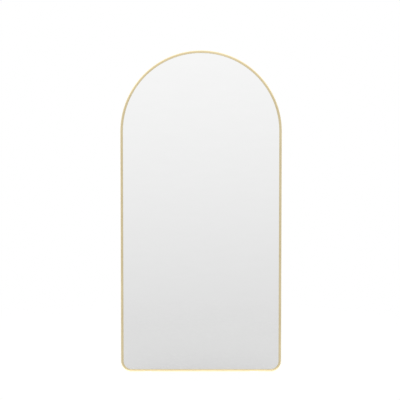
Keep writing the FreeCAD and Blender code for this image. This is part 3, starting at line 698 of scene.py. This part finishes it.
def strap_path(x):
    """The middle of the strip from the back layer, up and round the eye, to the front layer."""
    middle = STRAP_THICKNESS / 2
    radius = EYE_RADIUS + middle
    front_y = board_high.y + 3 * middle
    reach = math.hypot(HINGE_Y - front_y, STRAP_THROAT)
    slope = math.atan2(HINGE_Y - front_y, STRAP_THROAT) + math.asin(radius / reach)
    places = [(Vector((x, board_high.y + middle, HINGE_Z - STRAP_FLAT_TOP)), X, Y, Z)]
    turn = math.pi + slope
    for step in range(EYE_STEPS + 1):
        angle = math.pi - turn * step / EYE_STEPS
        spoke = Vector((0, math.cos(angle), math.sin(angle)))
        along = Vector((0, math.sin(angle), -math.cos(angle)))
        places.append((Vector((x, HINGE_Y, HINGE_Z)) + spoke * radius, X, -spoke, along))
    knee = Vector((x, front_y, HINGE_Z - STRAP_THROAT))
    trim = KNEE_RADIUS * math.tan(slope / 2)
    centre = knee + Vector((0, KNEE_RADIUS, -trim))
    for step in range(KNEE_STEPS + 1):
        angle = slope * (1 - step / KNEE_STEPS)
        spoke = Vector((0, -math.cos(angle), math.sin(angle)))
        along = Vector((0, -math.sin(angle), -math.cos(angle)))
        places.append((centre + spoke * KNEE_RADIUS, X, spoke, along))
    places.append((Vector((x, front_y, HINGE_Z - STRAP_FLAT_TOP)), X, -Y, -Z))
    return places


def strap_holes(top, bottom):
    """Two holes down from top to bottom, both depths of the doubled strip, with the screws' countersink."""
    doubled = 2 * STRAP_THICKNESS
    sink_foot = doubled - (SINK_RADIUS - HOLE_RADIUS)
    depths = [top, sink_foot, bottom] if bottom < sink_foot < top else [top, bottom]
    holes = []
    for height in HOLE_HEIGHTS:
        steps = []
        for depth in depths:
            radius = max(HOLE_RADIUS, SINK_RADIUS - (doubled - depth))
            lean = SINK_LEAN if radius > HOLE_RADIUS else 0.0
            steps.append((depth, SINK_RADIUS - radius, -1.0, lean))
        holes.append((circle(0, height, SINK_RADIUS, HOLE_STEPS), steps, False))
    return holes


straps = Shell()
strip_section = rounded(
    [
        (-STRAP_WIDTH / 2, -STRAP_THICKNESS / 2, STRAP_EDGE),
        (STRAP_WIDTH / 2, -STRAP_THICKNESS / 2, STRAP_EDGE),
        (STRAP_WIDTH / 2, STRAP_THICKNESS / 2, STRAP_EDGE),
        (-STRAP_WIDTH / 2, STRAP_THICKNESS / 2, STRAP_EDGE),
    ]
)
for side in (-1, 1):
    strap_place = (Vector((side * HANGER_X, board_high.y, HINGE_Z)), -X, Z, Y)
    for low in (0.0, STRAP_THICKNESS):
        high = low + STRAP_THICKNESS
        rim = round_rim(high, STRAP_EDGE, start=low)
        straps.slab(strap_place, strap_outline(), rim, strap_holes(high, low))
    straps.sweep(strip_section, strap_path(side * HANGER_X), ends=False)
straps.finish("hanger_straps_plated", "mirror", "zinc_steel", ["hanger_straps"], [zinc])


def cross_outline(x, y):
    """A cross recess with slightly rounded corners."""
    long, short = RECESS_HALF_SPAN, RECESS_HALF_WIDTH
    arms = [(long, -short), (long, short), (short, short)]
    corners = []
    for quarter in range(4):
        for u, v in arms:
            for _ in range(quarter):
                u, v = -v, u
            corners.append((x + u, y + v, RECESS_CORNER))
    return rounded(corners, steps=2)


screws = Shell()
cone = SCREW_HEAD_RADIUS - SCREW_CORE_RADIUS
length = screw_high.y - screw_low.y
screw_rim = [
    (0.0, SCREW_HEAD_RADIUS - SCREW_TIP_RADIUS, 0.3, -1.0),
    (SCREW_TIP, cone, 1.0, -0.4),
    (length - cone - SCREW_HEAD_RIM, cone, 1.0, -0.2),
    (length - SCREW_HEAD_EDGE, SCREW_HEAD_EDGE * 0.2, 1.0, -0.3),
    (length - SCREW_HEAD_EDGE * 0.3, SCREW_HEAD_EDGE * 0.5, 1.0, 0.6),
    (length, SCREW_HEAD_EDGE, 0.3, 1.0),
]
recess_rim = [
    (length, 0.0, -0.5, 0.9),
    (length - RECESS_EDGE, RECESS_EDGE, -1.0, 0.3),
    (length - RECESS_DEPTH, RECESS_TAPER, -1.0, 0.1),
]
for side in (-1, 1):
    for height in HOLE_HEIGHTS:
        place = (Vector((side * HANGER_X, screw_low.y, HINGE_Z)), -X, Z, Y)
        recess = (cross_outline(0, height), recess_rim, True)
        screws.slab(place, circle(0, height, SCREW_HEAD_RADIUS), screw_rim, [recess])
screws.finish("hanger_screws_plated", "mirror", "zinc_steel", ["hanger_screws"], [zinc])


def ring_path():
    """The D's line in x and z from the hinge: a straight leg, two shoulders and the bow, eased together."""
    corners = [Vector((-RING_LEG, 0)), Vector((RING_LEG, 0)), Vector((RING_BOW, -RING_SHOULDER))]
    steps = round(math.pi * RING_BOW / RING_SPACING)
    for step in range(1, steps + 1):
        angle = -math.pi * step / steps
        corners.append(Vector((RING_BOW * math.cos(angle), -RING_SHOULDER + RING_BOW * math.sin(angle))))
    line = []
    for first, second in zip(corners, corners[1:] + corners[:1]):
        count = max(1, round((second - first).length / RING_SPACING))
        line += [first.lerp(second, step / count) for step in range(count)]
    count = len(line)
    near = range(-RING_EASE_REACH, RING_EASE_REACH + 1)
    for _ in range(RING_EASE_PASSES):
        line = [sum((line[(i + k) % count] for k in near), Vector((0, 0))) / len(near) for i in range(count)]
    return line


wire = circle(0, 0, WIRE_RADIUS, WIRE_STEPS)
ring_line = ring_path()
for name, side in (("left", -1), ("right", 1)):
    hinge = Vector((side * HANGER_X, HINGE_Y, HINGE_Z))
    places = []
    for i, point in enumerate(ring_line):
        ahead = (ring_line[(i + 1) % len(ring_line)] - ring_line[i - 1]).normalized()
        along = Vector((ahead.x, 0, ahead.y))
        places.append((hinge + Vector((point.x, 0, point.y)), Y.cross(along), Y, along))
    ring = Shell()
    ring.sweep(wire, turned(places, hinge, RING_TILT), closed=True)
    ring.finish(f"ring_wire_{name}", f"hanger_ring_{name}", "zinc_steel", [f"hanger_ring_{name}"], [zinc])

# ---------------------------------------------------------------- rubber at the wall and the floor

bumper_outline = rounded(
    [
        (-BUMPER_HEAD, 0, TINY_EDGE),
        (-BUMPER_NECK, 0, TINY_EDGE),
        (-BUMPER_NECK, BUMPER_FOOT_BACK, TINY_EDGE),
        (-BUMPER_FOOT, BUMPER_FOOT_BACK, TINY_EDGE),
        (-BUMPER_FOOT, BUMPER_FOOT_FRONT, TINY_EDGE),
        (BUMPER_FOOT, BUMPER_FOOT_FRONT, TINY_EDGE),
        (BUMPER_FOOT, BUMPER_FOOT_BACK, TINY_EDGE),
        (BUMPER_NECK, BUMPER_FOOT_BACK, TINY_EDGE),
        (BUMPER_NECK, 0, TINY_EDGE),
        (BUMPER_HEAD, 0, TINY_EDGE),
        (BUMPER_HEAD, BUMPER_HEIGHT, BUMPER_SHOULDER),
        (-BUMPER_HEAD, BUMPER_HEIGHT, BUMPER_SHOULDER),
    ],
    steps=4,
)
slot_radius = HALF_WIDTH - (SLOT_OUTER + SLOT_INNER) / 2
for name, side in (("left", -1), ("right", 1)):
    outward = Vector((side * math.sin(UPPER_BUMPER_ANGLE), 0, math.cos(UPPER_BUMPER_ANGLE)))
    for level, centre, across in (
        ("upper", Vector((0, FRAME_BACK, ARCH_CENTRE)) + outward * slot_radius, outward),
        ("lower", Vector((side * slot_radius, FRAME_BACK, LOWER_BUMPER_Z)), X),
    ):
        along = across.cross(Y)
        reach = along * (BUMPER_HALF_LENGTH - BUMPER_EDGE)
        piece = Shell()
        places = [(centre - reach, across, Y, along), (centre + reach, across, Y, along)]
        piece.sweep(bumper_outline, places, BUMPER_EDGE)
        node_name = f"{level}_bumper_{name}"
        piece.finish(f"{node_name}_moulded", "mirror", "grey_rubber", [node_name], [grey_rubber])

pad_rubber = clear_rubber()
for name in ("left", "right"):
    low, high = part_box(f"floor_pad_{name}")
    piece = Shell()
    outline = rounded(
        [
            (low.x, low.y, PAD_CORNER),
            (high.x, low.y, PAD_CORNER),
            (high.x, high.y, PAD_CORNER),
            (low.x, high.y, PAD_CORNER),
        ]
    )
    piece.slab((Vector((0, 0, low.z)), X, Y, Z), outline, round_rim(high.z - low.z, PAD_EDGE))
    piece.finish(f"floor_pad_{name}_clear", "mirror", "clear_rubber", [f"floor_pad_{name}"], [pad_rubber])

# ---------------------------------------------------------------- finishes of the solids that are kept

setting_rubber = rubber("setting_rubber", (0.012, 0.012, 0.012), (0.03, 0.03, 0.03))
for node_name, finish in (
    ("glazing_gasket", block_foam),
    ("safety_film", vinyl_film()),
    ("mounting_tape", tape_foam),
    ("adhesive_beads", adhesive()),
    ("edge_spacers", block_foam),
    ("setting_block_left", setting_rubber),
    ("setting_block_right", setting_rubber),
    ("splice_bar_left", steel),
    ("splice_bar_right", steel),
    ("splice_screws", oxide),
):
    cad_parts[node_name].data.materials[0] = finish

# ---------------------------------------------------------------- studio

WHITE = (1.0, 1.0, 1.0, 1.0)

# The floor is whole out to FLOOR_WHOLE and has faded away at FLOOR_GONE. The shares say how far its own
# light takes the place of its shading: in the camera's view, where that light is white, and in reflections,
# where it is FLOOR_GLOW, or PAINTED_FOOT_GLOW close to the mirror's plane. That brighter strip is a painted
# pool of light on the floor at the mirror's foot, which only the glass and the frame's base show.
# PAINTED_FOOT_REACH is where that painted light begins to fade and where it ends.
FLOOR_RADIUS = 3.0
FLOOR_RINGS = 24
FLOOR_SPOKES = 96
FLOOR_WHOLE = 0.9
FLOOR_GONE = 2.94
FLOOR_SHARE_SEEN = 0.95
FLOOR_SHARE = 0.75
FLOOR_GLOW = 0.777
PAINTED_FOOT_GLOW = 2.6
PAINTED_FOOT_REACH = (0.026, 0.046)

# The studio's light is given by direction: x to the right, y away from the camera and z up, each from -1
# to 1. A pair is where something begins and where it is full.
# The panel behind the camera brightens upwards from PANEL_LOW to PANEL_HIGH, fastest at its foot.
PANEL_LOW = -0.25
PANEL_HIGH = 0.15
PANEL_FOOT = 0.8
PANEL_TOP = 1.174
PANEL_CURVE = 0.415
PANEL_FRONT = (-0.2, -0.7)
PANEL_SIDES = (0.34, 0.11)
PANEL_ENDS = (0.5, 0.26)

# The walls brighten a little upwards, and are dimmer by ROOM_DIM round the panel. The left is brighter than
# the middle by LEFT_SHARE.
WALL_LEVEL = 0.98
WALL_RISE = 0.22
WALL_HEIGHTS = (-0.3, 0.9)
ROOM_DIM = 0.36
ROOM_FRONT = (0.1, -0.75)
SIDE_LIGHT = 0.5
SIDE_LIGHT_SIDES = (0.6, 0.9)
SIDE_LIGHT_FRONT = (-0.02, -0.3)
TOP_LIGHT = 0.6
TOP_LIGHT_HEIGHTS = (0.2, 0.55)
LEFT_SHARE = 0.05

CAMERA_DISTANCE = 5.5
CAMERA_HEIGHT = 1.195
CAMERA_X = -0.006
AIM_HEIGHT = 0.968
LENS = 88.45
SENSOR_WIDTH = 36.0


def make_floor():
    """A pale round floor that fades out into the white of the studio."""
    points = [(0.0, 0.0, 0.0)]
    faces = []
    for ring in range(1, FLOOR_RINGS + 1):
        radius = FLOOR_RADIUS * ring / FLOOR_RINGS
        for spoke in range(FLOOR_SPOKES):
            angle = 2 * math.pi * spoke / FLOOR_SPOKES
            points.append((radius * math.cos(angle), radius * math.sin(angle), 0.0))
    for spoke in range(FLOOR_SPOKES):
        following = (spoke + 1) % FLOOR_SPOKES
        faces.append((0, 1 + spoke, 1 + following))
        for ring in range(FLOOR_RINGS - 1):
            inner = 1 + ring * FLOOR_SPOKES
            outer = inner + FLOOR_SPOKES
            faces.append((inner + spoke, outer + spoke, outer + following, inner + following))
    mesh = bpy.data.meshes.new("studio_floor")
    mesh.from_pydata(points, [], faces)
    floor = bpy.data.objects.new("studio_floor", mesh)
    bpy.context.scene.collection.objects.link(floor)
    material, tree, shader = new_material("pale_floor", Specular_IOR_Level=0.2)
    place = coordinates(tree)
    mottle = noise(tree, place, 1.4, 5.0, 0.55)
    stops = [(0.3, (0.84, 0.84, 0.835)), (0.7, (0.86, 0.86, 0.855))]
    feed(tree, shader, Base_Color=ramp(tree, mottle, stops))
    feed(tree, shader, Roughness=map_range(tree, mottle, 0.3, 0.7, 0.7, 0.85))
    seen = node(tree, "ShaderNodeLightPath").outputs["Is Camera Ray"]
    parts = node(tree, "ShaderNodeSeparateXYZ", {0: place}).outputs
    apart = math_node(tree, "ABSOLUTE", parts["Y"])
    # Painted pool of light: close to the mirror's plane the floor glows brighter in reflections, lighting up
    # the glass's foot and the frame's base.
    glow = map_range(tree, apart, *PAINTED_FOOT_REACH, PAINTED_FOOT_GLOW, FLOOR_GLOW, True)
    glow = node(tree, "ShaderNodeMix", {0: seen, 2: glow, 3: 1.0}, data_type="FLOAT").outputs[0]
    light = node(tree, "ShaderNodeEmission", {"Color": WHITE, "Strength": glow}).outputs[0]
    share = map_range(tree, seen, 0.0, 1.0, FLOOR_SHARE, FLOOR_SHARE_SEEN)
    lit = node(tree, "ShaderNodeMixShader", {0: share, 1: shader.outputs[0], 2: light}).outputs[0]
    distance = node(tree, "ShaderNodeVectorMath", {0: place}, operation="LENGTH").outputs["Value"]
    fade = map_range(tree, distance, FLOOR_WHOLE, FLOOR_GONE, 0.0, 1.0, True)
    clear = node(tree, "ShaderNodeBsdfTransparent").outputs[0]
    mixed = node(tree, "ShaderNodeMixShader", {0: fade, 1: lit, 2: clear}).outputs[0]
    output = next(n for n in tree.nodes if n.type == "OUTPUT_MATERIAL")
    tree.links.new(mixed, output.inputs["Surface"])
    mesh.materials.append(material)


def panel_light(tree, y, z, side):
    """The tall soft panel behind the camera, which the glass shows, as (its share, its level)."""
    up = map_range(tree, z, PANEL_LOW, PANEL_HIGH, 0.0, 1.0)
    down = math_node(tree, "SUBTRACT", 1.0, up)
    bulge = math_node(tree, "MULTIPLY", math_node(tree, "MULTIPLY", up, down), PANEL_CURVE)
    level = map_range(tree, math_node(tree, "ADD", up, bulge), 0.0, 1.0, PANEL_FOOT, PANEL_TOP)
    behind = map_range(tree, y, *PANEL_FRONT, 0.0, 1.0, True)
    narrow = map_range(tree, side, *PANEL_SIDES, 0.0, 1.0, True)
    upright = map_range(tree, math_node(tree, "ABSOLUTE", z), *PANEL_ENDS, 0.0, 1.0, True)
    share = math_node(tree, "MULTIPLY", math_node(tree, "MULTIPLY", behind, narrow), upright)
    return share, level


def room_light(tree, y, z, side):
    """The walls' level, with the lights at both sides and overhead."""
    front = map_range(tree, y, *ROOM_FRONT, 0.0, 1.0, True)
    height = map_range(tree, z, *WALL_HEIGHTS, 0.0, 1.0, True)
    walls = math_node(tree, "ADD", WALL_LEVEL, math_node(tree, "MULTIPLY", height, WALL_RISE))
    dim = math_node(tree, "SUBTRACT", 1.0, math_node(tree, "MULTIPLY", front, ROOM_DIM))
    room = math_node(tree, "MULTIPLY", walls, dim)
    beside = map_range(tree, side, *SIDE_LIGHT_SIDES, 0.0, SIDE_LIGHT, True)
    ahead = map_range(tree, y, *SIDE_LIGHT_FRONT, 0.0, 1.0, True)
    room = math_node(tree, "ADD", room, math_node(tree, "MULTIPLY", beside, ahead))
    above = map_range(tree, z, *TOP_LIGHT_HEIGHTS, 0.0, TOP_LIGHT, True)
    return math_node(tree, "ADD", room, above)


def make_world():
    """A white studio, a little brighter on the left. The camera itself sees plain white."""
    world = bpy.data.worlds.new("studio")
    bpy.context.scene.world = world
    world.use_nodes = True
    tree = world.node_tree
    tree.nodes.clear()
    direction = node(tree, "ShaderNodeTexCoord").outputs["Generated"]
    parts = node(tree, "ShaderNodeSeparateXYZ", {0: direction}).outputs
    x, y, z = parts["X"], parts["Y"], parts["Z"]
    side = math_node(tree, "ABSOLUTE", x)
    share, level = panel_light(tree, y, z, side)
    inputs = {0: share, 2: room_light(tree, y, z, side), 3: level}
    lit = node(tree, "ShaderNodeMix", inputs, data_type="FLOAT").outputs[0]
    leftward = math_node(tree, "SUBTRACT", 1.0, math_node(tree, "MULTIPLY", x, LEFT_SHARE))
    lit = math_node(tree, "MULTIPLY", lit, leftward)
    studio = node(tree, "ShaderNodeBackground", {"Color": WHITE, "Strength": lit}).outputs[0]
    plain = node(tree, "ShaderNodeBackground", {"Color": WHITE, "Strength": 1.0}).outputs[0]
    seen = node(tree, "ShaderNodeLightPath").outputs["Is Camera Ray"]
    mixed = node(tree, "ShaderNodeMixShader", {0: seen, 1: studio, 2: plain}).outputs[0]
    output = node(tree, "ShaderNodeOutputWorld")
    tree.links.new(mixed, output.inputs["Surface"])


def make_camera():
    data = bpy.data.cameras.new("camera")
    data.lens = LENS
    data.sensor_width = SENSOR_WIDTH
    camera = bpy.data.objects.new("camera", data)
    bpy.context.scene.collection.objects.link(camera)
    camera.location = (CAMERA_X, -CAMERA_DISTANCE, CAMERA_HEIGHT)
    aim = Vector((CAMERA_X, 0, AIM_HEIGHT)) - camera.location
    camera.rotation_mode = "QUATERNION"
    camera.rotation_quaternion = aim.to_track_quat("-Z", "Y")
    bpy.context.scene.camera = camera


make_floor()
make_world()
make_camera()
bpy.context.scene.view_settings.view_transform = "Standard"
